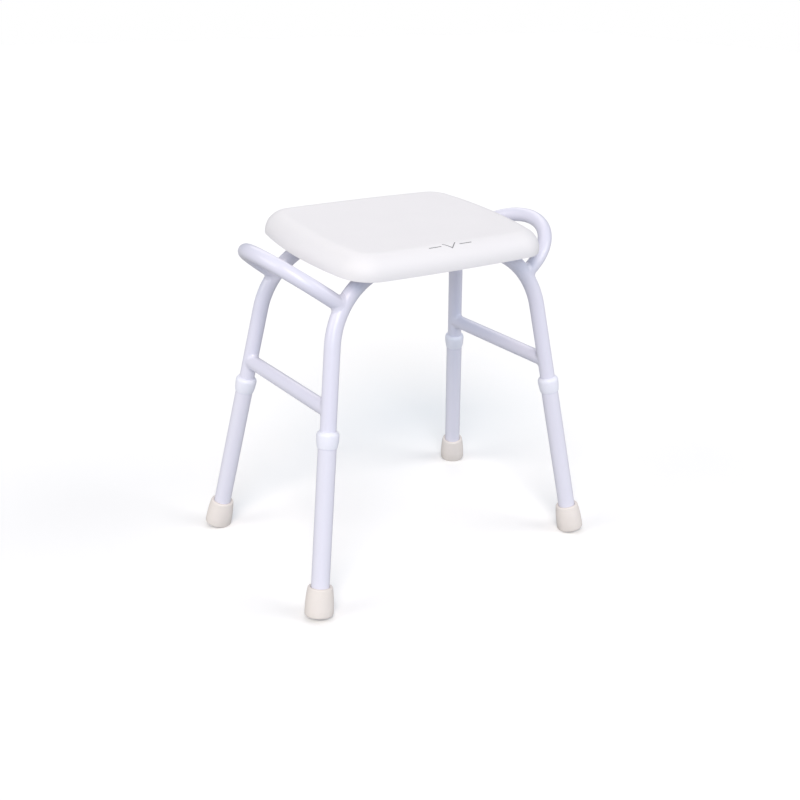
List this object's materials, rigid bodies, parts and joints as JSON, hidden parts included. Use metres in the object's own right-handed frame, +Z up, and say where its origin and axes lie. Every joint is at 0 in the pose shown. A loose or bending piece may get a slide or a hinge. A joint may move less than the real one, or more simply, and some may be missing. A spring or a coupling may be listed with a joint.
{
  "type": "shower stool",
  "caption": "White shower stool with a rounded plastic seat on bent tube hoops, looped side handles, side braces and height-adjustable legs with rubber tips.",
  "frame": {"origin": "on the floor, in the middle of the four legs' footprint", "axes": "+Z up; +X to the stool's right-hand handle as seen from its front; -Y towards the front edge of the seat, the lower edge"},
  "size_m": [0.5032, 0.3494, 0.5017],
  "materials": {
    "white_tube": "gloss white powder coat",
    "white_leg": "gloss white powder coat",
    "seat_plastic": "satin moulded white",
    "collar_plastic": "smooth moulded white",
    "tip_rubber": "matt warm white rubber",
    "button_metal": "plated",
    "steel": "plated"
  },
  "bodies": {
    "frame": {"seat": "seat_plastic", "front_hoop": "white_tube", "rear_hoop": "white_tube", "left_brace": "white_tube", "right_brace": "white_tube", "left_handle": "white_tube", "right_handle": "white_tube", "seat_screws": "steel", "front_left_spring": "steel", "front_right_spring": "steel", "rear_left_spring": "steel", "rear_right_spring": "steel"},
    "front_left_leg_body": {"front_left_leg": "white_leg", "front_left_collar": "collar_plastic", "front_left_tip": "tip_rubber"},
    "front_left_button_body": {"front_left_button": "button_metal"},
    "front_right_leg_body": {"front_right_leg": "white_leg", "front_right_collar": "collar_plastic", "front_right_tip": "tip_rubber"},
    "front_right_button_body": {"front_right_button": "button_metal"},
    "rear_left_leg_body": {"rear_left_leg": "white_leg", "rear_left_collar": "collar_plastic", "rear_left_tip": "tip_rubber"},
    "rear_left_button_body": {"rear_left_button": "button_metal"},
    "rear_right_leg_body": {"rear_right_leg": "white_leg", "rear_right_collar": "collar_plastic", "rear_right_tip": "tip_rubber"},
    "rear_right_button_body": {"rear_right_button": "button_metal"}
  },
  "joints": [
    {"name": "front_left_leg_slide", "type": "slide", "parent": "frame", "child": "front_left_leg_body", "axis": [-0.1472, -0.1517, -0.9774], "range_m": [0, 0.15]},
    {"name": "front_left_button_press", "type": "slide", "parent": "frame", "child": "front_left_button_body", "axis": [0, -0.9882, 0.1534], "range_m": [0, 0.0037], "stiffness_N_per_m": 900, "deforming": ["front_left_spring"]},
    {"name": "front_right_leg_slide", "type": "slide", "parent": "frame", "child": "front_right_leg_body", "axis": [0.1472, -0.1517, -0.9774], "range_m": [0, 0.15]},
    {"name": "front_right_button_press", "type": "slide", "parent": "frame", "child": "front_right_button_body", "axis": [0, -0.9882, 0.1534], "range_m": [0, 0.0037], "stiffness_N_per_m": 900, "deforming": ["front_right_spring"]},
    {"name": "rear_left_leg_slide", "type": "slide", "parent": "frame", "child": "rear_left_leg_body", "axis": [-0.1472, 0.1517, -0.9774], "range_m": [0, 0.15]},
    {"name": "rear_left_button_press", "type": "slide", "parent": "frame", "child": "rear_left_button_body", "axis": [0, -0.9882, -0.1534], "range_m": [0, 0.0037], "stiffness_N_per_m": 900, "deforming": ["rear_left_spring"]},
    {"name": "rear_right_leg_slide", "type": "slide", "parent": "frame", "child": "rear_right_leg_body", "axis": [0.1472, 0.1517, -0.9774], "range_m": [0, 0.15]},
    {"name": "rear_right_button_press", "type": "slide", "parent": "frame", "child": "rear_right_button_body", "axis": [0, -0.9882, -0.1534], "range_m": [0, 0.0037], "stiffness_N_per_m": 900, "deforming": ["rear_right_spring"]}
  ]
}
